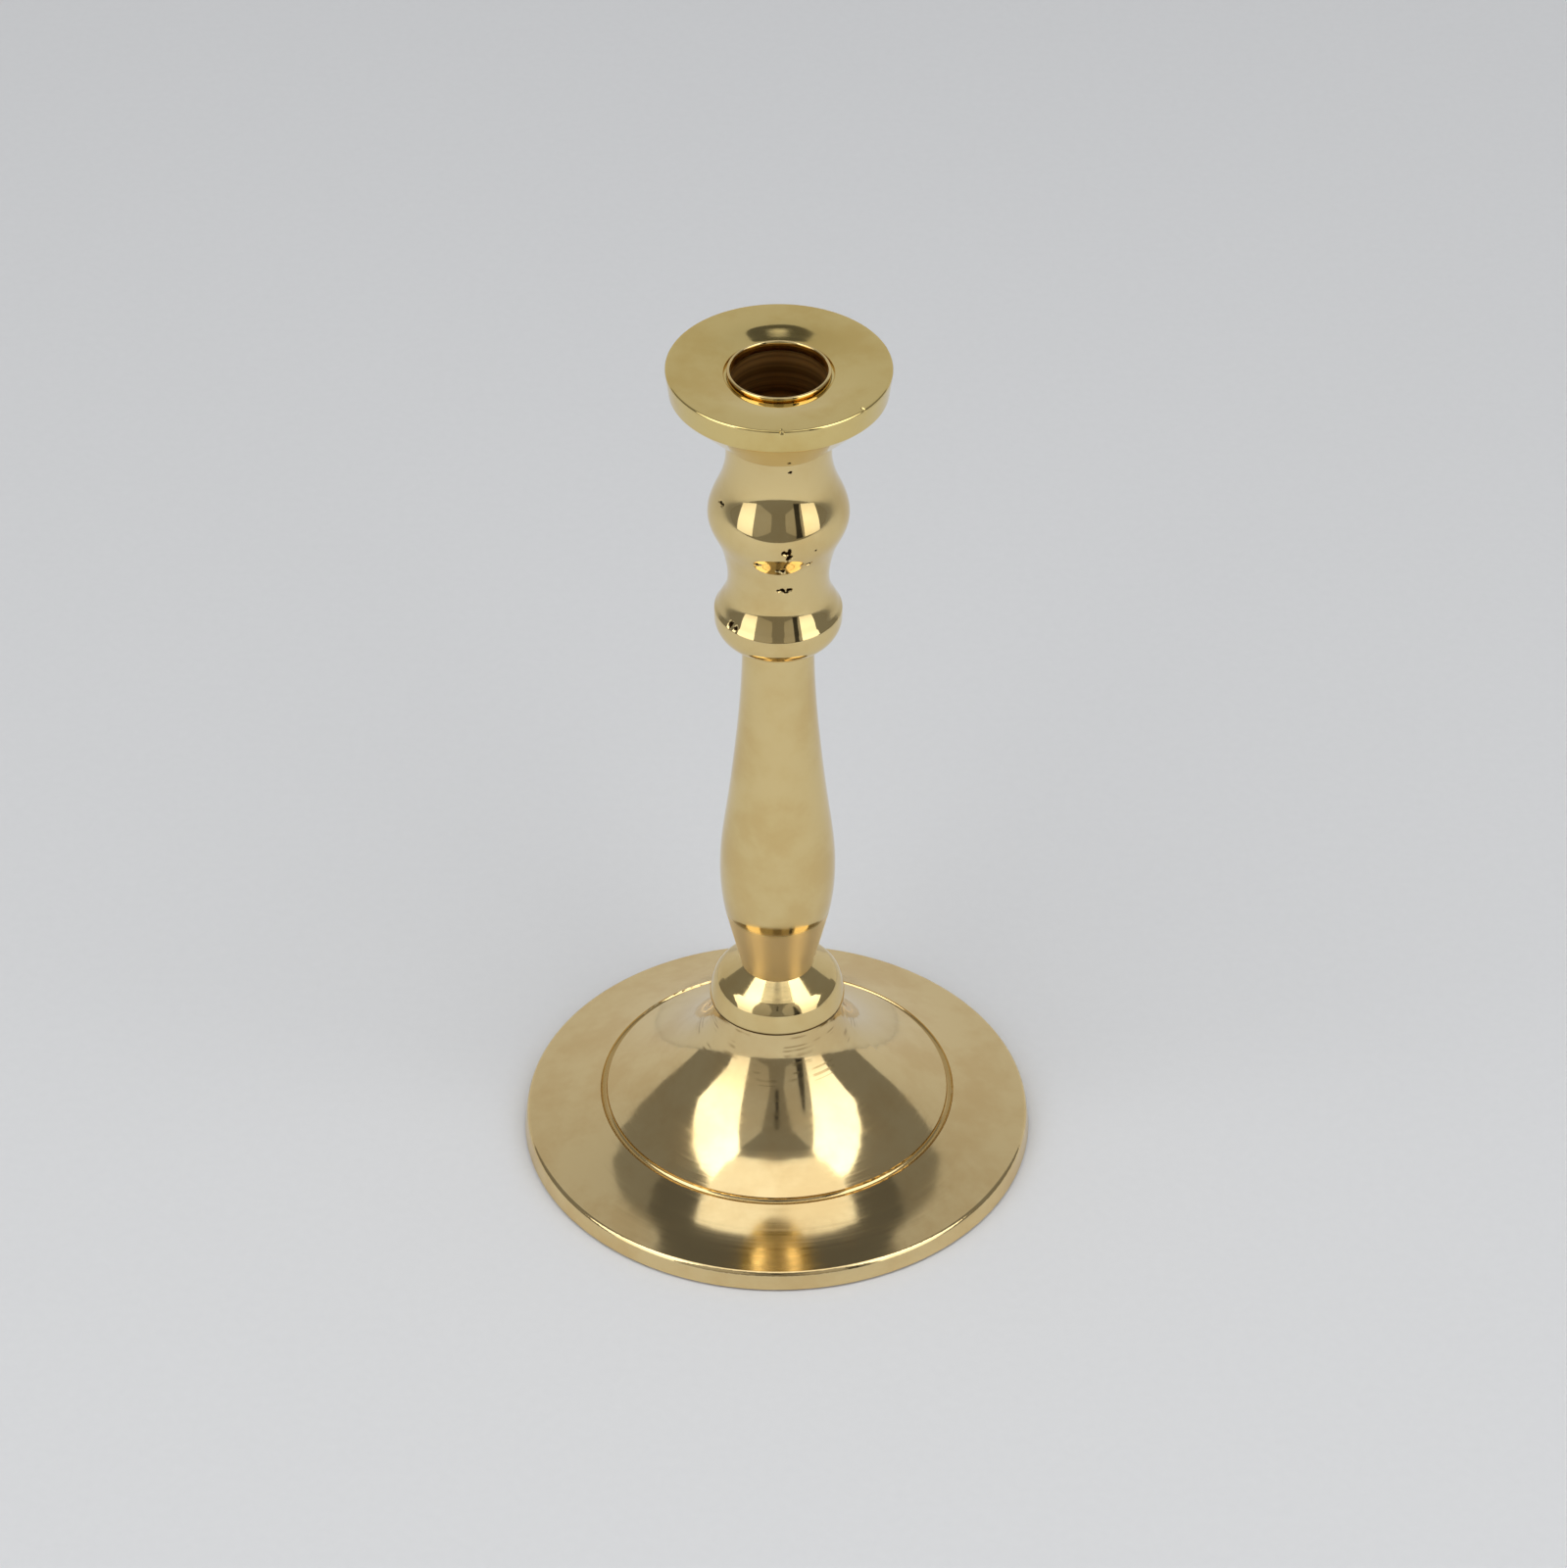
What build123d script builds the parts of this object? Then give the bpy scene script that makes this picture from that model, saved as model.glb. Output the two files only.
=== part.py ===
from build123d import *
import os
from math import acos, cos, degrees, pi, sin, sqrt

# Turned brass candlestick for one thin taper candle.
# Millimetres, +Z up. The origin is the centre of the foot, on the surface that it stands on.
# From the table upwards: base, foot_collar, stem, socket, drip_pan.
# A threaded rod runs up the middle. A washer and a nut under the base's crown clamp the stack.

# ---- base: a hollow bell, its top skin a piece of an ellipse ---------------------------------
foot_radius = 37.0            # where the foot meets the table
rim_radius = 36.6             # the rim's top edge, drawn in a little
rim_height = 3.0
rim_edge_round = 0.7
foot_chamfer = 0.4
crown_radius = 9.1            # the sweep starts upright here, under the collar
crown_height = 24.3           # joint between the base and the collar
sweep_reach = 50.3            # half-width of the ellipse
skin_thickness = 2.4
crown_thickness = 4.0         # plate that the nut pulls against
standing_ring_width = 3.2     # ring that touches the table
groove_radius = 25.3          # turned line round the bell
groove_section_radius = 0.55

# ---- foot_collar: a domed ring ---------------------------------------------------------------
collar_radius = 9.72
collar_height = 6.5
collar_bottom_round = 0.4
collar_side_top = (9.16, 3.25)    # the side bulges and leans in, up to this (radius, height)
collar_shoulder = (8.0, 4.72)     # the tight round of the shoulder ends here, and a cone goes on to the neck
side_lean = -0.035                # slope of the side where it leaves the bottom round

# ---- stem: a baluster, given as (radius, height above the collar) ----------------------------
neck_radius = 5.2
neck_cone_top = (7.5, 10.0)   # the neck is a plain cone up to here
belly_radius = 8.2
belly_height = 17.6
stem_length = 58.1
stem_top_radius = 5.0
belly_curve = [(7.87, 12.2)]
stem_taper_curve = [(7.28, 27.8), (5.97, 39.4), (5.1, 51.6)]

# ---- socket: bead, waist and bulb, given as (radius, height above the bead's underside) ------
bead_radius = 8.82
bead_top_height = 5.0
bead_bottom_round = 3.6
bead_top_round = 0.6
waist_slope = (-0.8, 1)       # direction in which the waist leaves the bead
waist_curve = [(8.1, 6.3), (7.4, 7.8), (6.97, 10.6), (7.35, 13.7), (8.2, 16.6)]
bulb_radius = 9.68
bulb_height = 21.0
bulb_top_curve = [(9.27, 23.2), (8.1, 26.1), (7.2, 30.4)]
neck_top_radius = 7.4
neck_top_slope = (0.12, 1)    # the top flares a little to meet the pan
socket_shoulder_height = 33.5
lip_radius = 7.0              # thin end of the socket, which comes up through the pan
lip_outer_round = 0.2
lip_height = 44.05
bore_radius = 6.4             # takes a 12.7 mm candle
bore_depth = 22.3
mouth_radius = 6.62           # the bore's mouth is bevelled open to this
mouth_depth = 0.85
mouth_round = 0.15

# ---- drip_pan: a thick turned dish round the lip, given as (radius, height above its underside)
pan_radius = 15.25
pan_lower_radius = 14.8
pan_hub_radius = 7.6
pan_height = 10.95
pan_rim_height = 3.6
pan_edge_round = 0.3
dish_edge_radius = 14.7
dish_curve = [(12.6, 10.86), (11.4, 10.76), (10.6, 10.64), (9.3, 10.37), (8.2, 10.13)]  # falls to the lip
dish_inner_edge = (7.45, 9.98)
dish_outer_slope = (-1, -0.03)
dish_inner_slope = (-1, -0.17)
dish_edge_round = 0.1
moat_radius = 7.35            # narrow groove between the dish and the lip
moat_floor_height = 9.5

# ---- rod, washer and nut (M4) ----------------------------------------------------------------
rod_radius = 2.0
rod_in_socket = 11.0
rod_hole_spare = 1.0          # the tapped hole goes on past the rod's end
rod_below_nut = 1.6
rod_end_chamfer = 0.4
thread_clearance = 0.02
passage_radius = 2.25         # the rod runs free through the collar, the stem and the crown
washer_radius = 5.0
washer_hole_radius = 2.2
washer_thickness = 0.8
nut_across_flats = 7.0
nut_height = 3.2
nut_corner_chamfer = 0.35
fit_clearance = 0.05          # the lip in the pan

collar_top = crown_height + collar_height
bead_bottom = collar_top + stem_length
pan_bottom = bead_bottom + socket_shoulder_height
lip_top = bead_bottom + lip_height


def spun(*edges):
    """Spin a closed outline in the XZ plane about Z."""
    return revolve(make_face(Wire(list(edges))), Axis.Z)


def line(*points):
    """Straight edges through (radius, height) points."""
    places = [Vector(radius, 0, height) for radius, height in points]
    return [Edge.make_line(a, b) for a, b in zip(places, places[1:])]


def curve(points, start_slope, end_slope):
    """A smooth edge through (radius, height) points, with its direction given at both ends."""
    places = [Vector(radius, 0, height) for radius, height in points]
    tangents = [Vector(slope[0], 0, slope[1]) for slope in (start_slope, end_slope)]
    return Edge.make_spline(places, tangents=tangents)


def raised(points, height):
    """Lift (radius, height) points by a height."""
    return [(radius, z + height) for radius, z in points]


def rings(solid, radius, height):
    """The round edges of a solid that have this radius and height."""
    near = 0.01
    return [
        edge
        for edge in solid.edges().filter_by(GeomType.CIRCLE)
        if abs(edge.radius - radius) < near and abs(edge.arc_center.Z - height) < near
    ]


def tube(outer_radius, inner_radius, height, bottom):
    """A round tube that stands on a height."""
    ring = Cylinder(outer_radius, height) - Cylinder(inner_radius, height)
    return Pos(0, 0, bottom + height / 2) * ring


def make_base():
    centre = crown_radius + sweep_reach
    rim_turn = acos((centre - rim_radius) / sweep_reach)
    sweep_drop = (crown_height - rim_height) / sin(rim_turn)
    groove_turn = acos((centre - groove_radius) / sweep_reach)
    groove_height = crown_height - sweep_drop * sin(groove_turn)
    sweep_plane = Plane(origin=(centre, 0, crown_height), x_dir=(-1, 0, 0), z_dir=(0, -1, 0))
    top_skin = Edge.make_ellipse(sweep_reach, sweep_drop, sweep_plane, 0, degrees(rim_turn))

    under_reach = sweep_reach + skin_thickness
    under_drop = sweep_drop + skin_thickness
    wall_radius = foot_radius - standing_ring_width
    wall_turn = acos((centre - wall_radius) / under_reach)
    plate_bottom = crown_height - crown_thickness
    plate_sine = crown_thickness / under_drop
    plate_radius = centre - under_reach * sqrt(1 - plate_sine**2)
    plate_turn = acos((centre - plate_radius) / under_reach)
    under_skin = Edge.make_ellipse(
        under_reach, under_drop, sweep_plane, degrees(plate_turn), degrees(wall_turn)
    )
    wall_top = crown_height - under_drop * sin(wall_turn)

    crown = line(
        (crown_radius, crown_height),
        (passage_radius, crown_height),
        (passage_radius, plate_bottom),
        (plate_radius, plate_bottom),
    )
    foot = line(
        (wall_radius, wall_top),
        (wall_radius, 0),
        (foot_radius - foot_chamfer, 0),
        (foot_radius, foot_chamfer),
        (rim_radius, rim_height),
    )
    bell = spun(top_skin, *crown, under_skin, *foot)
    bell = fillet(rings(bell, rim_radius, rim_height), rim_edge_round)
    groove = Pos(0, 0, groove_height) * Torus(groove_radius, groove_section_radius)
    return bell - groove


def arc_from(start, slope, end):
    """An arc that leaves a (radius, height) point along a slope and ends at another point."""
    return Edge.make_tangent_arc(
        Vector(start[0], 0, start[1]), Vector(slope[0], 0, slope[1]), Vector(end[0], 0, end[1])
    )


def make_foot_collar():
    flat_radius = collar_radius - collar_bottom_round
    flat_edge = (flat_radius, crown_height)
    side_bottom = (collar_radius, crown_height + collar_bottom_round)
    side_top, shoulder = raised([collar_side_top, collar_shoulder], crown_height)
    bottom_round = arc_from(flat_edge, (1, 0), side_bottom)
    side = arc_from(side_bottom, (side_lean, 1), side_top)
    side_end = side % 1
    shoulder_round = arc_from(side_top, (side_end.X, side_end.Z), shoulder)
    middle = line(
        shoulder,
        (neck_radius, collar_top),
        (passage_radius, collar_top),
        (passage_radius, crown_height),
        flat_edge,
    )
    return spun(bottom_round, side, shoulder_round, *middle)


def make_stem():
    neck_slope = (neck_cone_top[0] - neck_radius, neck_cone_top[1])
    belly_points = [neck_cone_top, *belly_curve, (belly_radius, belly_height)]
    taper_points = [(belly_radius, belly_height), *stem_taper_curve, (stem_top_radius, stem_length)]
    upright = (0, 1)
    neck = line(*raised([(neck_radius, 0), neck_cone_top], collar_top))
    belly = curve(raised(belly_points, collar_top), neck_slope, upright)
    taper = curve(raised(taper_points, collar_top), upright, upright)
    middle = line(
        (stem_top_radius, bead_bottom),
        (passage_radius, bead_bottom),
        (passage_radius, collar_top),
        (neck_radius, collar_top),
    )
    return spun(*neck, belly, taper, *middle)


def make_socket():
    rod_hole_top = bead_bottom + rod_in_socket + rod_hole_spare
    bore_bottom = lip_top - bore_depth
    bead_top = (bead_radius, bead_top_height)
    bulb = (bulb_radius, bulb_height)
    shoulder = (neck_top_radius, socket_shoulder_height)
    upright = (0, 1)
    waist = curve(raised([bead_top, *waist_curve, bulb], bead_bottom), waist_slope, upright)
    bulb_top = curve(raised([bulb, *bulb_top_curve, shoulder], bead_bottom), upright, neck_top_slope)
    hole_radius = rod_radius + thread_clearance
    bead = line((bead_radius, bead_bottom), (bead_radius, bead_bottom + bead_top_height))
    inside = line(
        (neck_top_radius, pan_bottom),
        (lip_radius, pan_bottom),
        (lip_radius, lip_top),
        (mouth_radius, lip_top),
        (bore_radius, lip_top - mouth_depth),
        (bore_radius, bore_bottom),
        (0, bore_bottom),
        (0, rod_hole_top),
        (hole_radius, rod_hole_top),
        (hole_radius, bead_bottom),
        (bead_radius, bead_bottom),
    )
    cup = spun(*bead, waist, bulb_top, *inside)
    cup = fillet(rings(cup, bead_radius, bead_bottom), bead_bottom_round)
    cup = fillet(rings(cup, bead_radius, bead_bottom + bead_top_height), bead_top_round)
    cup = fillet(rings(cup, lip_radius, lip_top), lip_outer_round)
    return fillet(rings(cup, mouth_radius, lip_top), mouth_round)


def make_drip_pan():
    top = pan_bottom + pan_height
    hole_radius = lip_radius + fit_clearance
    dish_points = [(dish_edge_radius, pan_height), *dish_curve, dish_inner_edge]
    dish = curve(raised(dish_points, pan_bottom), dish_outer_slope, dish_inner_slope)
    inner_edge_radius, inner_edge_height = dish_inner_edge
    floor_height = pan_bottom + moat_floor_height
    outside = line(
        (inner_edge_radius, pan_bottom + inner_edge_height),
        (moat_radius, floor_height),
        (hole_radius, floor_height),
        (hole_radius, pan_bottom),
        (pan_hub_radius, pan_bottom),
        (pan_lower_radius, top - pan_rim_height),
        (pan_radius, top),
        (dish_edge_radius, top),
    )
    pan = spun(dish, *outside)
    pan = fillet(rings(pan, inner_edge_radius, pan_bottom + inner_edge_height), dish_edge_round)
    pan = fillet(rings(pan, pan_radius, top), pan_edge_round)
    return fillet(rings(pan, pan_lower_radius, top - pan_rim_height), pan_edge_round)


def make_tie_rod():
    rod_bottom = crown_height - crown_thickness - washer_thickness - nut_height - rod_below_nut
    rod_top = bead_bottom + rod_in_socket
    length = rod_top - rod_bottom
    rod = Pos(0, 0, (rod_bottom + rod_top) / 2) * Cylinder(rod_radius, length)
    return chamfer(rod.edges().filter_by(GeomType.CIRCLE), rod_end_chamfer)


def make_washer():
    bottom = crown_height - crown_thickness - washer_thickness
    return tube(washer_radius, washer_hole_radius, washer_thickness, bottom)


def make_hex_nut():
    bottom = crown_height - crown_thickness - washer_thickness - nut_height
    corner_radius = nut_across_flats / 2 / cos(pi / 6)
    hexagon = extrude(Plane.XY.offset(bottom) * RegularPolygon(corner_radius, 6), nut_height)
    turned = Pos(0, 0, bottom + nut_height / 2) * Cylinder(corner_radius, nut_height)
    turned = chamfer(turned.edges().filter_by(GeomType.CIRCLE), nut_corner_chamfer)
    hole = Pos(0, 0, bottom + nut_height / 2) * Cylinder(rod_radius + thread_clearance, nut_height)
    return (hexagon & turned) - hole


pieces = {
    "base": make_base(),
    "foot_collar": make_foot_collar(),
    "stem": make_stem(),
    "socket": make_socket(),
    "drip_pan": make_drip_pan(),
    "tie_rod": make_tie_rod(),
    "washer": make_washer(),
    "hex_nut": make_hex_nut(),
}

os.makedirs("parts", exist_ok=True)
for name, piece in pieces.items():
    export_step(piece, f"parts/{name}.step")
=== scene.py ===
from math import ceil, cos, hypot, pi, radians, sin

import bpy
import numpy as np
from mathutils import Matrix, Vector, noise


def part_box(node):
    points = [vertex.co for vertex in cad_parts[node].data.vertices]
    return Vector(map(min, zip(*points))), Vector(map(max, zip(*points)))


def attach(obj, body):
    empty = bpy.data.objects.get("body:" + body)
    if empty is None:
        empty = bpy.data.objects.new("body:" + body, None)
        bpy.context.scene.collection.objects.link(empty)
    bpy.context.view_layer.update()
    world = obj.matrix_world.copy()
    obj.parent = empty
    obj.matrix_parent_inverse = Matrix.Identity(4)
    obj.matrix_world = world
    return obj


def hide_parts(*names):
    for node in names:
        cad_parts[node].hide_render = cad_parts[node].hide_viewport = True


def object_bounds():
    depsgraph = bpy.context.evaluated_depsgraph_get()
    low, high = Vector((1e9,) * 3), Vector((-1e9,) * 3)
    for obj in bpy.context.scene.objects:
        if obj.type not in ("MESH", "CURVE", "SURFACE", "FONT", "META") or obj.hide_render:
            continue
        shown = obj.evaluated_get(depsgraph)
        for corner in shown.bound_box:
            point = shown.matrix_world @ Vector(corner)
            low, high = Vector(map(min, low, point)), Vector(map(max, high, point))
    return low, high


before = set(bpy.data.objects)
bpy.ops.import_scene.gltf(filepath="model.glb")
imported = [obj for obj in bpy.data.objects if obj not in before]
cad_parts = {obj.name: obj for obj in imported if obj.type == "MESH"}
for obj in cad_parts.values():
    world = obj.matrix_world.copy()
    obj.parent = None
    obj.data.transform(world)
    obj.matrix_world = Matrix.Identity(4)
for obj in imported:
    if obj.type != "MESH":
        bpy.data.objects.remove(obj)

cad_low, cad_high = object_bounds()


# ---- Camera ----------------------------------------------------------------------------------
# A camera with a long lens looks down on the candlestick from about arm's length. That is far
# enough back for the round parts to keep their shape.
scene = bpy.context.scene
full_height = cad_high[2]
look_down = radians(38.2)
roll = radians(0.21)
camera_reach = 6.105 * full_height
aim_right, aim_up = 0.006, 0.4705     # shares of the full height
aim = Vector((aim_right * full_height, 0, aim_up * full_height))
lens = bpy.data.cameras.new("long_lens")
lens.sensor_width = 36
lens.lens = 133.1
camera = bpy.data.objects.new("camera", lens)
scene.collection.objects.link(camera)
stand_point = aim + Vector((0, -cos(look_down), sin(look_down))) * camera_reach
tilt = Matrix.Rotation(pi / 2 - look_down, 4, "X") @ Matrix.Rotation(roll, 4, "Z")
camera.matrix_world = Matrix.Translation(stand_point) @ tilt
scene.camera = camera
scene.view_settings.view_transform = "Standard"


# ---- Floor -----------------------------------------------------------------------------------
# A sheet of matt white background paper, laid flat under the candlestick and far past the view.
# Paper has no gloss: it takes the light evenly, with a faint mottle where its fibres bunch.
mm = 0.001


def linear(hex_colour):
    """A colour as sRGB hex, turned to the linear values that shaders use."""
    channels = [int(hex_colour[i:i + 2], 16) / 255 for i in (1, 3, 5)]
    return [c / 12.92 if c <= 0.04045 else ((c + 0.055) / 1.055) ** 2.4 for c in channels] + [1]


def add(tree, kind, settings=None, **feeds):
    """Add one node with its settings. A feed names an input, or gives its number as i0, i1 and so on."""
    node = tree.nodes.new(kind)
    for name, value in (settings or {}).items():
        setattr(node, name, value)
    for name, value in feeds.items():
        number = name[1:]
        socket = node.inputs[int(number) if number.isdigit() else name.replace("_", " ")]
        if isinstance(value, bpy.types.NodeSocket):
            tree.links.new(value, socket)
        else:
            socket.default_value = value
    return node


def new_material(name):
    """A new material with no nodes in it yet, and its node tree."""
    material = bpy.data.materials.new(name)
    material.use_nodes = True
    material.node_tree.nodes.clear()
    return material, material.node_tree


def sheet_of(name, corners, material):
    """A flat sheet through its corners, part of the studio and not of the candlestick."""
    mesh = bpy.data.meshes.new(name)
    mesh.from_pydata([tuple(corner) for corner in corners], [], [list(range(len(corners)))])
    mesh.materials.append(material)
    thing = bpy.data.objects.new(name, mesh)
    scene.collection.objects.link(thing)
    return thing


paper, tree = new_material("matt_white_paper")
place = add(tree, "ShaderNodeTexCoord").outputs["Object"]
fibre_bunch = 1.5 * mm
fibres = add(tree, "ShaderNodeTexNoise", Vector=place, Scale=1 / fibre_bunch, Detail=3.0)
tone = add(
    tree, "ShaderNodeMix", {"data_type": "RGBA"}, i0=fibres.outputs["Fac"],
    i6=linear("#d0d1d2"), i7=linear("#d4d5d6"),
)
paper_skin = add(tree, "ShaderNodeBsdfDiffuse", Color=tone.outputs[2])
add(tree, "ShaderNodeOutputMaterial", Surface=paper_skin.outputs[0])
spread = 6.0     # from the candlestick to the edge of the paper, in metres
floor_corners = [(-spread, -spread, 0), (spread, -spread, 0), (spread, spread, 0), (-spread, spread, 0)]
sheet_of("paper_floor", floor_corners, paper)


# ---- Studio ----------------------------------------------------------------------------------
# Soft boxes stand in front at the left and right, a scrim hangs overhead, and white paper rises behind.
# Between them show the dim room, a camera, a light stand, and a dark cloth that hangs over the paper.
# These sheets show only as reflections in the brass. Corners are (azimuth, elevation) in degrees.
eye = Vector((0, 0, 0.45 * full_height))


def toward(azimuth, elevation, reach):
    """A point seen from the candlestick. Azimuth 0 is the camera's side, and 90 is to the right."""
    a, e = radians(azimuth), radians(elevation)
    return eye + Vector((sin(a) * cos(e), -cos(a) * cos(e), sin(e))) * reach


def glow(name, low, high):
    """A plain glowing surface, brighter or dimmer towards its top."""
    material, nodes = new_material(name)
    place = add(nodes, "ShaderNodeTexCoord").outputs["Generated"]
    rise = add(nodes, "ShaderNodeSeparateXYZ", Vector=place)
    power = add(nodes, "ShaderNodeMapRange", Value=rise.outputs["Z"], To_Min=low, To_Max=high)
    light = add(nodes, "ShaderNodeEmission", Color=linear("#ffffff"), Strength=power.outputs[0])
    add(nodes, "ShaderNodeOutputMaterial", Surface=light.outputs[0])
    return material


def only_reflected(thing):
    """Hide a studio sheet from everything but reflections."""
    thing.visible_camera = False
    thing.visible_diffuse = False
    thing.visible_shadow = False


def reflected_sheet(name, corners, reach, low, high):
    """A studio sheet seen from the candlestick, with its brightness low down and high up."""
    only_reflected(sheet_of(name, [toward(a, e, reach) for a, e in corners], glow(name, low, high)))


for side, name in ((-1, "left"), (1, "right")):
    box_corners = [(66, -4), (70, 10), (80, 22), (91, 33), (93, 71), (50, 67), (43, 30), (40, -4)]
    box_corners = [(side * a, e) for a, e in box_corners]
    reflected_sheet(f"{name}_soft_box", box_corners, reach=1.5, low=1.1, high=3.0)
    dim_corners = [(39, -4), (43, 30), (50, 66), (20, 60), (9, 30), (12, 8)]
    dim_corners = [(side * a, e) for a, e in dim_corners]
    reflected_sheet(f"{name}_dim_wall", dim_corners, reach=1.9, low=0.34, high=0.48)
scrim_front = [(-101, 70), (-70, 68.5), (-50, 69), (-25, 72.8), (0, 74.6), (25, 72.8), (50, 69), (70, 68.5)]
scrim_corners = scrim_front + [(101, 70), (131, 71), (180, 81), (-131, 71)]
reflected_sheet("overhead_scrim", scrim_corners, reach=1.45, low=1.3, high=1.15)
rise_corners = [(119, -4), (126, 20), (131, 45), (139, 64), (180, 62)]
back_corners = rise_corners + [(-a, e) for a, e in reversed(rise_corners[:-1])]
reflected_sheet("back_paper", back_corners, reach=1.6, low=0.64, high=0.48)
# Above the paper's top edge is a dark gap. The cloth's uneven edge hangs close to the candlestick.
gap_corners = [(115, 58), (180, 60), (-115, 58), (-115, 82), (180, 86), (115, 82)]
reflected_sheet("dark_gap_above_paper", gap_corners, reach=2.4, low=0.11, high=0.11)
cloth_edge = [
    (167, 60.2), (170, 59.4), (174, 59.2), (179, 59.6), (184, 59.1), (189, 59.7), (191, 59.3), (193, 60.4),
]
cloth_corners = cloth_edge + [(193.5, 70), (166.5, 70)]
reflected_sheet("dark_cloth_over_paper", cloth_corners, reach=0.4, low=0.1, high=0.1)
hole_corners = [(174, 62.9), (183, 63.1), (188, 63.6), (181, 64.4)]
reflected_sheet("gap_in_cloth", hole_corners, reach=0.39, low=1.1, high=1.1)
camera_corners = [(-2.2, 30), (2.2, 30), (2.4, 58), (-2.4, 58)]
reflected_sheet("camera_shape", camera_corners, reach=0.9, low=0.04, high=0.04)
stand_corners = [(26.5, -5), (37.5, -5), (36.5, 12), (36, 30), (35.5, 48), (33, 48), (29.5, 30), (28, 12)]
reflected_sheet("light_stand", stand_corners, reach=1.4, low=0.03, high=0.07)
# In reflections the white paper ends at the table's front edge, and past it is the dim floor of the room.
table_edge, above_paper = -0.68, 1 * mm
at_table = [(-spread, table_edge, above_paper), (spread, table_edge, above_paper)]
far_out = [(spread, -spread, above_paper), (-spread, -spread, above_paper)]
only_reflected(sheet_of("room_floor", at_table + far_out, glow("dim_room_floor", low=0.22, high=0.22)))

world = bpy.data.worlds.new("studio_air")
world.use_nodes = True
tree = world.node_tree
tree.nodes.clear()
ray = add(tree, "ShaderNodeLightPath")
dim_room = add(tree, "ShaderNodeBackground", Color=linear("#ffffff"), Strength=0.22)
soft_fill = add(tree, "ShaderNodeBackground", Color=linear("#f5f6f9"), Strength=0.41)
by_ray = add(
    tree, "ShaderNodeMixShader",
    i0=ray.outputs["Is Glossy Ray"], i1=soft_fill.outputs[0], i2=dim_room.outputs[0],
)
add(tree, "ShaderNodeOutputWorld", Surface=by_ray.outputs[0])
scene.world = world


def soft_lamp(name, azimuth, elevation, reach, width, power):
    """A large square lamp that lights the floor and the shadows but doesn't show in the brass."""
    data = bpy.data.lights.new(name, "AREA")
    data.size = width
    data.energy = power
    lamp = bpy.data.objects.new(name, data)
    scene.collection.objects.link(lamp)
    lamp.location = toward(azimuth, elevation, reach)
    lamp.rotation_euler = (eye - lamp.location).to_track_quat("-Z", "Y").to_euler()
    lamp.visible_glossy = False


soft_lamp("left_lamp", -50, 42, reach=1.2, width=1.0, power=6.2)
soft_lamp("right_lamp", 50, 42, reach=1.2, width=1.0, power=6.2)
soft_lamp("top_lamp", 0, 84, reach=1.4, width=0.9, power=4)


# ---- base ------------------------------------------------------------------------------------
# The foot is a thick bell of brass, cast and then turned all over, with one cut line round it.
# It stands on a narrow ring. Inside it is left as it came off the lathe, and a nut pulls on its crown.
smooth = {"interpolation_type": "SMOOTHSTEP"}
multiply = {"operation": "MULTIPLY"}


def ring_place(tree):
    """Where a spot is on the lathe: its radius, its height, and the two as one flat place."""
    place = add(tree, "ShaderNodeTexCoord").outputs["Object"]
    flat = add(tree, "ShaderNodeVectorMath", multiply, i0=place, i1=(1, 1, 0)).outputs[0]
    radius = add(tree, "ShaderNodeVectorMath", {"operation": "LENGTH"}, i0=flat).outputs["Value"]
    height = add(tree, "ShaderNodeSeparateXYZ", Vector=place).outputs["Z"]
    lathe = add(tree, "ShaderNodeCombineXYZ", X=radius, Y=height).outputs[0]
    return place, radius, height, lathe


def buffed_brass(name, gloss, line_depth=1.0, clean="#e7cf95", hazed="#dfc386"):
    """Cast brass, turned on a lathe and buffed to a mirror.

    The mirror isn't perfect. Fine rings are left by the tool, the wheel leaves shallow waves, and handling
    leaves a thin uneven haze that is a little browner than the metal.
    """
    material, tree = new_material(name)
    place, _, _, lathe = ring_place(tree)
    haze_size, wave_size, wave_depth = 9 * mm, 6 * mm, 0.05 * mm
    ring_gap, ring_depth = 0.45 * mm, 0.004 * mm     # rings a little wider than real ones, so that they show
    haze = add(tree, "ShaderNodeTexNoise", Vector=place, Scale=1 / haze_size, Detail=4.0, Roughness=0.6)
    cloud = add(tree, "ShaderNodeMapRange", smooth, Value=haze.outputs["Fac"], From_Min=0.38, From_Max=0.68)
    colour = add(
        tree, "ShaderNodeMix", {"data_type": "RGBA"}, i0=cloud.outputs[0], i6=linear(clean), i7=linear(hazed)
    )
    rings = add(tree, "ShaderNodeTexNoise", Vector=lathe, Scale=1 / ring_gap, Detail=3.0, Roughness=0.7)
    hazed_gloss = add(tree, "ShaderNodeMix", i0=cloud.outputs[0], i2=gloss, i3=gloss * 1.5)
    ring_gloss = add(
        tree, "ShaderNodeMapRange", smooth,
        Value=rings.outputs["Fac"], From_Min=0.3, From_Max=0.75, To_Min=0.8, To_Max=1.35,
    )
    shine = add(tree, "ShaderNodeMath", multiply, i0=hazed_gloss.outputs[0], i1=ring_gloss.outputs[0])
    waves = add(tree, "ShaderNodeTexNoise", Vector=place, Scale=1 / wave_size, Detail=1.0)
    soft = add(tree, "ShaderNodeBump", Strength=0.3, Distance=wave_depth, Height=waves.outputs["Fac"])
    cut = add(
        tree, "ShaderNodeBump", Strength=0.05 * line_depth, Distance=ring_depth,
        Height=rings.outputs["Fac"], Normal=soft.outputs[0],
    )
    skin = add(
        tree, "ShaderNodeBsdfPrincipled", Base_Color=colour.outputs[2], Metallic=1.0,
        Roughness=shine.outputs[0], Normal=cut.outputs[0],
    )
    add(tree, "ShaderNodeOutputMaterial", Surface=skin.outputs[0])
    return material, tree, skin


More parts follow.
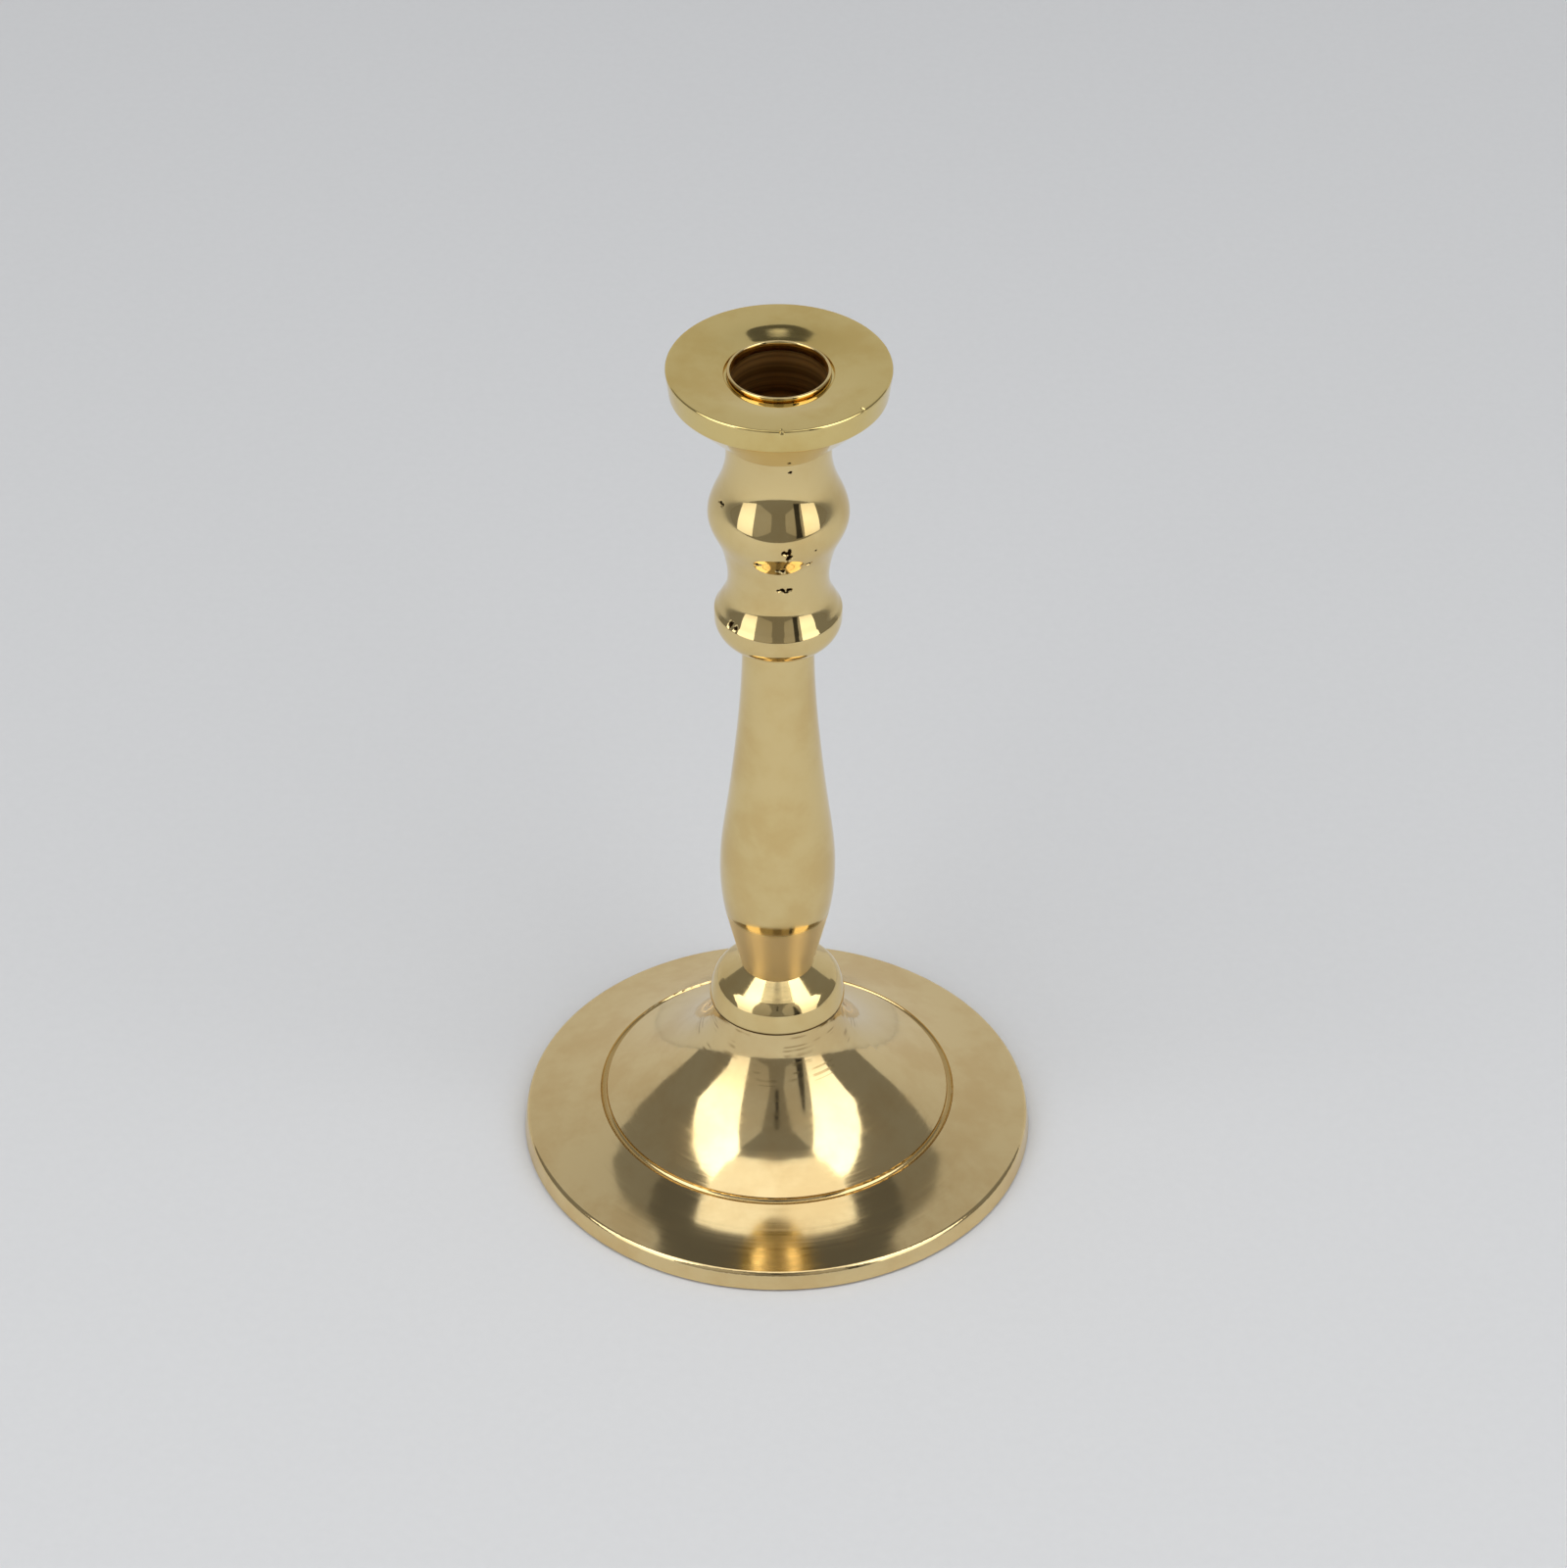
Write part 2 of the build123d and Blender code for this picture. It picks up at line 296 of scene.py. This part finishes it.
def over(tree, skin, share, colour, roughness):
    """Lay another finish over part of a metal: its colour and its roughness take over where share is 1."""
    below = {name: skin.inputs[name].links[0].from_socket for name in ("Base Color", "Roughness")}
    tint = linear(colour) if isinstance(colour, str) else colour
    mixed = add(tree, "ShaderNodeMix", {"data_type": "RGBA"}, i0=share, i6=below["Base Color"], i7=tint)
    rougher = add(tree, "ShaderNodeMix", i0=share, i2=below["Roughness"], i3=roughness)
    tree.links.new(mixed.outputs[2], skin.inputs["Base Color"])
    tree.links.new(rougher.outputs[0], skin.inputs["Roughness"])


def finish_node(node, material):
    """Give a CAD piece its material."""
    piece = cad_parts[node]
    piece.data.materials.clear()
    piece.data.materials.append(material)


base_brass, tree, skin = buffed_brass("buffed_base_brass", gloss=0.075, clean="#e6ce99", hazed="#dec28b")
# Underneath, the metal is left dull and brown from the tool.
facing = add(tree, "ShaderNodeNewGeometry").outputs["Normal"]
up = add(tree, "ShaderNodeSeparateXYZ", Vector=facing).outputs["Z"]
underneath = add(tree, "ShaderNodeMapRange", smooth, Value=up, From_Min=-0.05, From_Max=-0.3)
over(tree, skin, underneath.outputs[0], "#a8874e", 0.42)
# The cut line is browner than the bell, because the buffing wheel doesn't reach its floor.
place, radius, _, lathe = ring_place(tree)
groove_radius, groove_side, groove_floor = 25.3 * mm, 0.5 * mm, 0.15 * mm
from_groove = add(tree, "ShaderNodeMath", {"operation": "SUBTRACT"}, i0=radius, i1=groove_radius)
off_groove = add(tree, "ShaderNodeMath", {"operation": "ABSOLUTE"}, i0=from_groove.outputs[0])
in_groove = add(
    tree, "ShaderNodeMapRange", smooth,
    Value=off_groove.outputs[0], From_Min=groove_side, From_Max=groove_floor, To_Max=0.6,
)
over(tree, skin, in_groove.outputs[0], "#b08c46", 0.3)
# Broken rings of fine scratches show on the crown, just outside the collar.
scratch_end, scratch_start = 13 * mm, 11 * mm
scratch_gap, patch_size = 0.5 * mm, 3.5 * mm     # scratches wider than real ones, so that they show
near_crown = add(
    tree, "ShaderNodeMapRange", smooth,
    Value=radius, From_Min=scratch_end, From_Max=scratch_start, To_Max=0.5,
)
fine_rings = add(tree, "ShaderNodeTexNoise", Vector=lathe, Scale=1 / scratch_gap, Detail=1.0).outputs["Fac"]
patches = add(tree, "ShaderNodeTexNoise", Vector=place, Scale=1 / patch_size, Detail=1.0).outputs["Fac"]
in_ring = add(tree, "ShaderNodeMapRange", smooth, Value=fine_rings, From_Min=0.54, From_Max=0.62)
in_patch = add(tree, "ShaderNodeMapRange", smooth, Value=patches, From_Min=0.5, From_Max=0.62)
scratched = add(tree, "ShaderNodeMath", multiply, i0=in_ring.outputs[0], i1=in_patch.outputs[0])
scratch_share = add(tree, "ShaderNodeMath", multiply, i0=scratched.outputs[0], i1=near_crown.outputs[0])
over(tree, skin, scratch_share.outputs[0], "#8f7443", 0.28)
finish_node("base", base_brass)


# ---- foot_collar -----------------------------------------------------------------------------
# A separate domed ring of brass between the base and the stem. It is turned and buffed bright,
# and a thin dark line of painted shadow runs round its foot, where it meets the base.
collar_brass, tree, skin = buffed_brass("buffed_collar_brass", gloss=0.07)
_, _, height, _ = ring_place(tree)
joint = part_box("foot_collar")[0].z
# Painted shadow: the lowest 0.7 mm of the collar is painted dark brown and made rougher, as the shadow at
# the joint.
shadow_top, shadow_full = joint + 0.7 * mm, joint + 0.35 * mm
painted_joint_shadow = add(tree, "ShaderNodeMapRange", smooth, Value=height, From_Min=shadow_top, From_Max=shadow_full)
over(tree, skin, painted_joint_shadow.outputs[0], "#4a3416", 0.4)
finish_node("foot_collar", collar_brass)


# ---- stem ------------------------------------------------------------------------------------
# A turned brass baluster, buffed along its length. The wheel doesn't get into the narrow neck
# above the collar, so the neck keeps a satin look.
stem_brass, tree, skin = buffed_brass("buffed_stem_brass", gloss=0.07)
_, _, height, _ = ring_place(tree)
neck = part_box("stem")[0].z
buffed_from, satin_to = neck + 11.2 * mm, neck + 9.6 * mm
in_neck = add(
    tree, "ShaderNodeMapRange", smooth, Value=height, From_Min=buffed_from, From_Max=satin_to, To_Max=0.85
)
over(tree, skin, in_neck.outputs[0], "#ecd3a0", 0.5)
finish_node("stem", stem_brass)


# ---- socket ----------------------------------------------------------------------------------
# The candle cup is one casting: a bead, a waist and a bulb, turned outside and bored from above.
# Small holes from the casting show as dark pits, and the bore keeps the rings of the boring tool.
def through(points, start, end, step=0.15):
    """A smooth line through points, with its direction given at both ends."""
    p = np.array(points, float)
    h = np.hypot(*np.diff(p, axis=0).T)
    n = len(p)
    sums, wanted = np.eye(n), np.zeros((n, 2))
    wanted[0], wanted[-1] = (np.array(way, float) / hypot(*way) for way in (start, end))
    for i in range(1, n - 1):
        sums[i, i - 1:i + 2] = h[i], 2 * (h[i - 1] + h[i]), h[i - 1]
        wanted[i] = 3 * (h[i] * (p[i] - p[i - 1]) / h[i - 1] + h[i - 1] * (p[i + 1] - p[i]) / h[i])
    way = np.linalg.solve(sums, wanted)
    line = []
    for i in range(n - 1):
        t = np.arange(0, 1, 1 / ceil(h[i] / step))[:, None]
        rise = h[i] * (way[i] * t * (1 - t) ** 2 - way[i + 1] * t * t * (1 - t))
        line += list(p[i] * (1 + 2 * t) * (1 - t) ** 2 + p[i + 1] * t * t * (3 - 2 * t) + rise)
    return [tuple(point) for point in line] + [tuple(points[-1])]


def rounded(before, corner, after, radius, steps=8):
    """A corner of an outline, rounded off."""
    c = Vector(corner)
    to_before, to_after = (Vector(before) - c).normalized(), (Vector(after) - c).normalized()
    half = to_before.angle(to_after) / 2
    centre = c + (to_before + to_after).normalized() * radius / sin(half)
    reach = radius * cos(half) / sin(half)
    first = (c + to_before * reach - centre).normalized()
    last = (c + to_after * reach - centre).normalized()
    return [tuple(centre + first.slerp(last, k / steps) * radius) for k in range(steps + 1)]


def straight(start, end, step=0.3):
    """Even steps along a straight part of an outline, with neither end."""
    count = max(1, ceil(hypot(end[0] - start[0], end[1] - start[1]) / step))
    return [tuple(np.array(start) + (np.array(end) - np.array(start)) * k / count) for k in range(1, count)]


def columns(fine_zones, fine, coarse):
    """Angles round a piece in degrees, close together in the zones that need it."""
    angles, a = [], -180.0
    while a < 180 - 0.01:
        angles.append(a)
        a += fine if any(low <= a < high for low, high in fine_zones) else coarse
    return np.array(angles)


def hollows(marks, angle, radius, height):
    """How deep each spot is eaten away, in mm, and how dark it is.

    A mark is an angle in degrees, a height, a half-width, a half-height and a depth in mm.
    """
    deep, dark = np.zeros(angle.shape), np.zeros(angle.shape)
    per_mm, ragged_share, looked_at = 2.3, 0.9, 2.2
    outer_edge, edge_width = 1.15, 0.4
    for seed, (mark_angle, mark_height, wide, tall, depth) in enumerate(marks):
        across = (angle - mark_angle) * pi / 180 * radius
        above = height - mark_height
        close = (abs(across) < looked_at * wide) & (abs(above) < looked_at * tall)
        for spot in zip(*np.nonzero(close)):
            u, v = across[spot], above[spot]
            ragged = ragged_share * noise.noise(Vector((u * per_mm, v * per_mm, seed * 7.1)))
            edge = hypot(u / wide, v / tall) + ragged
            share = min(max((outer_edge - edge) / edge_width, 0), 1)
            deep[spot] = max(deep[spot], depth * share * share * (3 - 2 * share))
            dark[spot] = max(dark[spot], share)
    return deep, dark


def turned(name, outline, angles, cut=None):
    """Spin an outline of (radius, height) points in mm round the axis.

    The outline runs up the outside and down the inside. It is closed, or starts and ends on the axis.
    Angle 0 faces the front. cut(angle, radius, height) says how deep and how dark each spot is.
    """
    outline = np.array(outline)
    capped = outline[0, 0] < 1e-6
    rows = outline[1:-1] if capped else outline
    around = outline if capped else np.vstack([outline[-1:], outline, outline[:1]])
    ahead = around[2:] - around[:-2]
    ahead /= np.hypot(*ahead.T)[:, None]
    angle, radius = np.meshgrid(angles, rows[:, 0])
    height = rows[:, 1][:, None] + 0 * angle
    deep, dark = cut(angle, radius, height) if cut else (0 * angle, 0 * angle)
    radius = radius - deep * ahead[:, 1][:, None]
    height = height + deep * ahead[:, 0][:, None]
    turn = np.radians(angle)
    spots = np.stack([radius * np.sin(turn), -radius * np.cos(turn), height], -1).reshape(-1, 3)
    n, m = len(rows), len(angles)
    at = np.arange(n * m).reshape(n, m)
    here = at if not capped else at[:-1]
    above = np.roll(at, -1, 0) if not capped else at[1:]
    quads = np.stack([here, np.roll(here, -1, 1), np.roll(above, -1, 1), above], -1)
    quads = quads.reshape(-1, 4).tolist()
    if capped:
        spots = np.vstack([spots, [[0, 0, outline[0, 1]], [0, 0, outline[-1, 1]]]])
        first, last = n * m, n * m + 1
        quads += [[first, at[0, (k + 1) % m], at[0, k]] for k in range(m)]
        quads += [[last, at[-1, k], at[-1, (k + 1) % m]] for k in range(m)]
    mesh = bpy.data.meshes.new(name)
    mesh.from_pydata((spots * mm).tolist(), [], quads)
    darkening = mesh.attributes.new("darkening", "FLOAT", "POINT")
    darkening.data.foreach_set("value", np.append(dark.ravel(), [0, 0] if capped else []).astype(np.float32))
    mesh.shade_smooth()
    crease = radians(35)
    mesh.set_sharp_from_angle(angle=crease)
    piece = bpy.data.objects.new(name, mesh)
    scene.collection.objects.link(piece)
    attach(piece, "root")
    return piece


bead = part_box("socket")[0].z / mm
lip_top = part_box("socket")[1].z / mm - bead
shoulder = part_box("drip_pan")[0].z / mm - bead
bead_radius, bead_height, bulb = 8.82, 5.0, (9.68, 21.0)
bottom_round, bead_round, lip_round, mouth_round = 3.6, 0.6, 0.2, 0.15
rod_hole_radius, rod_hole_height = 2.02, 12.0
lip_radius, mouth_radius, bore_radius = 7.0, 6.62, 6.4
mouth_bottom, bore_bottom = lip_top - 0.85, lip_top - 22.3
waist = [(bead_radius, bead_height), (8.1, 6.3), (7.4, 7.8), (6.97, 10.6), (7.35, 13.7), (8.2, 16.6), bulb]
bulb_top = [bulb, (9.27, 23.2), (8.1, 26.1), (7.2, 30.4), (7.4, shoulder)]
waist_line = through(waist, (-0.8, 1), (0, 1))
past_edge = next(k for k, point in enumerate(waist_line) if point[1] > bead_height + 0.6)
outline = [(0, rod_hole_height), (rod_hole_radius, rod_hole_height)]
outline += straight((rod_hole_radius, rod_hole_height), (rod_hole_radius, 0), 1.5) + [(rod_hole_radius, 0)]
outline += straight((rod_hole_radius, 0), (bead_radius - bottom_round, 0), 1.0)
outline += rounded((0, 0), (bead_radius, 0), (bead_radius, bead_height), bottom_round, steps=24)
outline += rounded((bead_radius, 0), (bead_radius, bead_height), waist_line[past_edge], bead_round)
outline += waist_line[past_edge:-1] + through(bulb_top, (0, 1), (0.12, 1))
outline += [(lip_radius, shoulder)] + straight((lip_radius, shoulder), (lip_radius, lip_top), 1.2)
outline += rounded((lip_radius, 0), (lip_radius, lip_top), (0, lip_top), lip_round, steps=4)
mouth = (mouth_radius, lip_top)
outline += rounded((lip_radius, lip_top), mouth, (bore_radius, mouth_bottom), mouth_round, steps=4)
# The boring tool's rings fade in and out down the bore. They are wider than real ones, so that they show.
tool_step, tool_depth, fade_step, fade_middle, fade_swing = 1.15, 0.022, 7.3, 0.55, 0.45
depths = np.arange(0, mouth_bottom - bore_bottom, tool_step / 8)
fade = fade_middle + fade_swing * np.cos(2 * pi * depths / fade_step)
cuts = tool_depth * (1 - np.cos(2 * pi * depths / tool_step)) * fade
outline += [(bore_radius + cut, mouth_bottom - depth) for cut, depth in zip(cuts, depths)]
outline += [(bore_radius, bore_bottom), (4.0, bore_bottom), (2.0, bore_bottom), (0, bore_bottom)]
pits = [
    (5.0, 20.75, 0.45, 0.25, 0.3), (8.0, 20.7, 0.5, 0.4, 0.35), (9.0, 19.9, 0.5, 0.35, 0.35),
    (7.6, 19.5, 0.25, 0.25, 0.25), (1.5, 16.9, 0.6, 0.25, 0.25), (4.5, 16.6, 0.5, 0.3, 0.25),
    (27.7, 17.6, 0.7, 0.22, 0.25), (-19.0, 17.9, 0.5, 0.25, 0.2), (3.5, 12.7, 0.55, 0.3, 0.3),
    (12.0, 12.75, 0.4, 0.3, 0.25), (8.5, 12.3, 0.35, 0.16, 0.2), (32.0, 20.2, 0.14, 0.16, 0.1),
    (-63.6, 24.9, 0.5, 0.3, 0.25), (-50.9, 5.7, 0.4, 0.45, 0.25), (-43.5, 5.5, 0.35, 0.4, 0.25),
    (12.4, 32.2, 0.3, 0.15, 0.12),
]


def socket_pits(angle, radius, height):
    """Casting pits, on the outside only."""
    deep, dark = hollows(pits, angle, radius, height - bead)
    outside = radius > lip_radius - 0.1
    return deep * outside, dark * outside


pitted_side = (-68, 40)
cup_columns = columns([pitted_side], fine=0.75, coarse=3)
socket = turned("candle_cup", [(r, z + bead) for r, z in outline], cup_columns, socket_pits)
socket_brass, tree, skin = buffed_brass("buffed_socket_brass", gloss=0.045, line_depth=0.6)
_, radius, height, lathe = ring_place(tree)
# The bore is tarnished brown and is satin from the boring tool, so it mirrors little.
stain_size = 1.6 * mm
stain = add(tree, "ShaderNodeTexNoise", Vector=lathe, Scale=1 / stain_size, Detail=3.0).outputs["Fac"]
stained = add(tree, "ShaderNodeMapRange", smooth, Value=stain, From_Min=0.35, From_Max=0.65)
bore_stain = add(
    tree, "ShaderNodeMix", {"data_type": "RGBA"},
    i0=stained.outputs[0], i6=linear("#cda362"), i7=linear("#85602c"),
)
wall_clear, wall_full = (bore_radius + 0.14) * mm, (bore_radius + 0.08) * mm
stain_top, stain_full = (bead + mouth_bottom - 0.2) * mm, (bead + mouth_bottom - 0.7) * mm
on_wall = add(tree, "ShaderNodeMapRange", smooth, Value=radius, From_Min=wall_clear, From_Max=wall_full)
below_mouth = add(tree, "ShaderNodeMapRange", smooth, Value=height, From_Min=stain_top, From_Max=stain_full)
inside = add(tree, "ShaderNodeMath", multiply, i0=on_wall.outputs[0], i1=below_mouth.outputs[0])
over(tree, skin, inside.outputs[0], bore_stain.outputs[2], 0.5)
# Under the bead, close round the stem, the brass is painted dark brown and made rougher, as painted shadow
# where the socket sits on the stem.
shade_top, shade_full = (bead + 0.4) * mm, (bead + 0.1) * mm
shade_outer, shade_inner = 6.2 * mm, 5.4 * mm
under_bead = add(tree, "ShaderNodeMapRange", smooth, Value=height, From_Min=shade_top, From_Max=shade_full)
by_stem = add(tree, "ShaderNodeMapRange", smooth, Value=radius, From_Min=shade_outer, From_Max=shade_inner)
painted_shadow_by_stem = add(tree, "ShaderNodeMath", multiply, i0=under_bead.outputs[0], i1=by_stem.outputs[0])
over(tree, skin, painted_shadow_by_stem.outputs[0], "#6b4f22", 0.4)
darkening = add(tree, "ShaderNodeAttribute", {"attribute_name": "darkening"}).outputs["Fac"]
in_pits = add(tree, "ShaderNodeMapRange", smooth, Value=darkening, From_Min=0.25, From_Max=0.6)
over(tree, skin, in_pits.outputs[0], "#2a1c0c", 0.6)
socket.data.materials.append(socket_brass)
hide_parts("socket")


# ---- drip_pan --------------------------------------------------------------------------------
# A thick turned dish that catches wax. It sits on the socket's shoulder, round the thin lip.
# Its top is buffed, and its sharp front edge has two small nicks from knocks.
pan_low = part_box("drip_pan")[0].z / mm
pan_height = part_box("drip_pan")[1].z / mm - pan_low
pan_radius, pan_lower_radius, hub_radius, hole_radius = 15.25, 14.8, 7.6, 7.05
rim_height = 3.6
rim_bottom, moat_floor, moat_radius, dish_inner = pan_height - rim_height, 9.5, 7.35, (7.45, 9.98)
hub_round, rim_round, dish_round = 0.25, 0.3, 0.1
dish_line = [
    (14.7, pan_height), (12.6, 10.86), (11.4, 10.76), (10.6, 10.64), (9.3, 10.37), (8.2, 10.13), dish_inner,
]
dish = through(dish_line, (-1, -0.03), (-1, -0.17), 0.2)
hub, rim_low, rim_top = (hub_radius, 0), (pan_lower_radius, rim_bottom), (pan_radius, pan_height)
outline = [(hole_radius, 0)] + rounded((hole_radius, 0), hub, rim_low, hub_round, steps=4)
outline += straight(hub, rim_low, 0.8) + rounded(hub, rim_low, rim_top, rim_round, steps=5)
outline += straight(rim_low, rim_top, 0.3)[1:-1] + rounded(rim_low, rim_top, (0, pan_height), rim_round)
outline += dish[:-1] + rounded(dish[-3], dish_inner, (moat_radius, moat_floor), dish_round, steps=4)
outline += [(moat_radius, moat_floor), (hole_radius, moat_floor)]
outline += straight((hole_radius, moat_floor), (hole_radius, 0), 1.5)
nicks = [(1.9, 10.85, 0.3, 0.35, 0.16), (48.0, 10.85, 0.22, 0.3, 0.14)]
nicked_from = 14.6     # nicks stay outside this radius


def pan_nicks(angle, radius, height):
    """Bright nicks in the edge, which hold no dirt."""
    deep, dark = hollows(nicks, angle, radius, height - pan_low)
    edge = radius > nicked_from
    return deep * edge, 0 * dark


pan_columns = columns([(-1, 5), (45, 51)], fine=0.35, coarse=2)
pan = turned("wax_dish", [(r, z + pan_low) for r, z in outline], pan_columns, pan_nicks)
pan_brass, _, _ = buffed_brass("buffed_pan_brass", gloss=0.06, clean="#e4cd8a", hazed="#dcc17a")
pan.data.materials.append(pan_brass)
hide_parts("drip_pan")


# ---- tie_rod ---------------------------------------------------------------------------------
# A bright zinc steel stud runs up the middle, with a rolled M4 thread at each end.
# The upper end is screwed into the socket, and a nut on the lower end pulls the whole stack together.
rod_low, rod_high = (corner.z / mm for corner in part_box("tie_rod"))
thread_pitch, thread_depth, thread_length, end_chamfer = 0.7, 0.4, 12.0, 0.4
rod_radius = 2.0
outline = [(0, rod_low), (rod_radius - end_chamfer, rod_low), (rod_radius, rod_low + end_chamfer)]
lower_thread, upper_thread = (rod_radius, rod_low + thread_length), (rod_radius, rod_high - thread_length)
outline += straight(outline[-1], lower_thread, thread_pitch / 10)
outline += straight(lower_thread, upper_thread, 6)
outline += straight(upper_thread, (rod_radius, rod_high - end_chamfer), thread_pitch / 10)
outline += [(rod_radius, rod_high - end_chamfer), (rod_radius - end_chamfer, rod_high), (0, rod_high)]


def thread(angle, radius, height):
    """A single-start right-hand thread that runs out towards the plain middle."""
    turn = ((height - rod_low) / thread_pitch - angle / 360) % 1
    from_end = np.minimum(height - rod_low, rod_high - height)
    plain_end, lead_in = 0.3, 0.2
    run_out = np.clip((thread_length - plain_end - from_end) / thread_pitch, 0, 1)
    start = np.clip(from_end / end_chamfer - lead_in, 0, 1)
    steepness, crest = 1.15, 0.05
    shape = np.clip(steepness * (1 - abs(2 * turn - 1)) - crest, 0, 1)
    deep = thread_depth * shape * run_out * start
    return deep, deep / thread_depth


def zinc_steel(name, roughness, line_gap):
    """Steel with a thin coat of bright zinc: pale, slightly blue, and finely lined where a tool cut it.

    The lines and the cloudiness are wider than real ones, so that they show.
    """
    material, tree = new_material(name)
    place, _, _, lathe = ring_place(tree)
    spangle_size, line_depth = 1.8 * mm, 0.02 * mm
    spangle = add(tree, "ShaderNodeTexNoise", Vector=place, Scale=1 / spangle_size, Detail=3.0)
    clouded = add(
        tree, "ShaderNodeMapRange", smooth, Value=spangle.outputs["Fac"], From_Min=0.35, From_Max=0.7
    )
    colour = add(
        tree, "ShaderNodeMix", {"data_type": "RGBA"},
        i0=clouded.outputs[0], i6=linear("#c6c9cc"), i7=linear("#aeb0af"),
    )
    lines = add(tree, "ShaderNodeTexNoise", Vector=lathe, Scale=1 / line_gap, Detail=3.0).outputs["Fac"]
    cut = add(tree, "ShaderNodeBump", Strength=0.25, Distance=line_depth, Height=lines)
    shine = add(
        tree, "ShaderNodeMapRange", smooth,
        Value=lines, From_Min=0.3, From_Max=0.7, To_Min=roughness * 0.85, To_Max=roughness * 1.2,
    )
    skin = add(
        tree, "ShaderNodeBsdfPrincipled", Base_Color=colour.outputs[2], Metallic=1.0,
        Roughness=shine.outputs[0], Normal=cut.outputs[0],
    )
    add(tree, "ShaderNodeOutputMaterial", Surface=skin.outputs[0])
    return material, tree, skin


rod = turned("threaded_stud", outline, columns([], fine=1, coarse=12), thread)
rod_steel, tree, skin = zinc_steel("rolled_zinc_steel", roughness=0.3, line_gap=0.5 * mm)
# The thread's grooves are painted darker the deeper they go.
darkening = add(tree, "ShaderNodeAttribute", {"attribute_name": "darkening"}).outputs["Fac"]
in_thread = add(tree, "ShaderNodeMapRange", smooth, Value=darkening, From_Min=0.55, From_Max=1.0, To_Max=0.6)
over(tree, skin, in_thread.outputs[0], "#4a4640", 0.5)
rod.data.materials.append(rod_steel)
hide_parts("tie_rod")


# ---- washer and nut --------------------------------------------------------------------------
# A stamped steel washer and an M4 hexagon nut, both in bright zinc. They clamp the stack from
# inside the hollow foot, and show only when the candlestick is turned over.
finish_node("washer", zinc_steel("stamped_zinc_steel", roughness=0.34, line_gap=0.8 * mm)[0])
finish_node("hex_nut", zinc_steel("machined_zinc_steel", roughness=0.26, line_gap=0.3 * mm)[0])
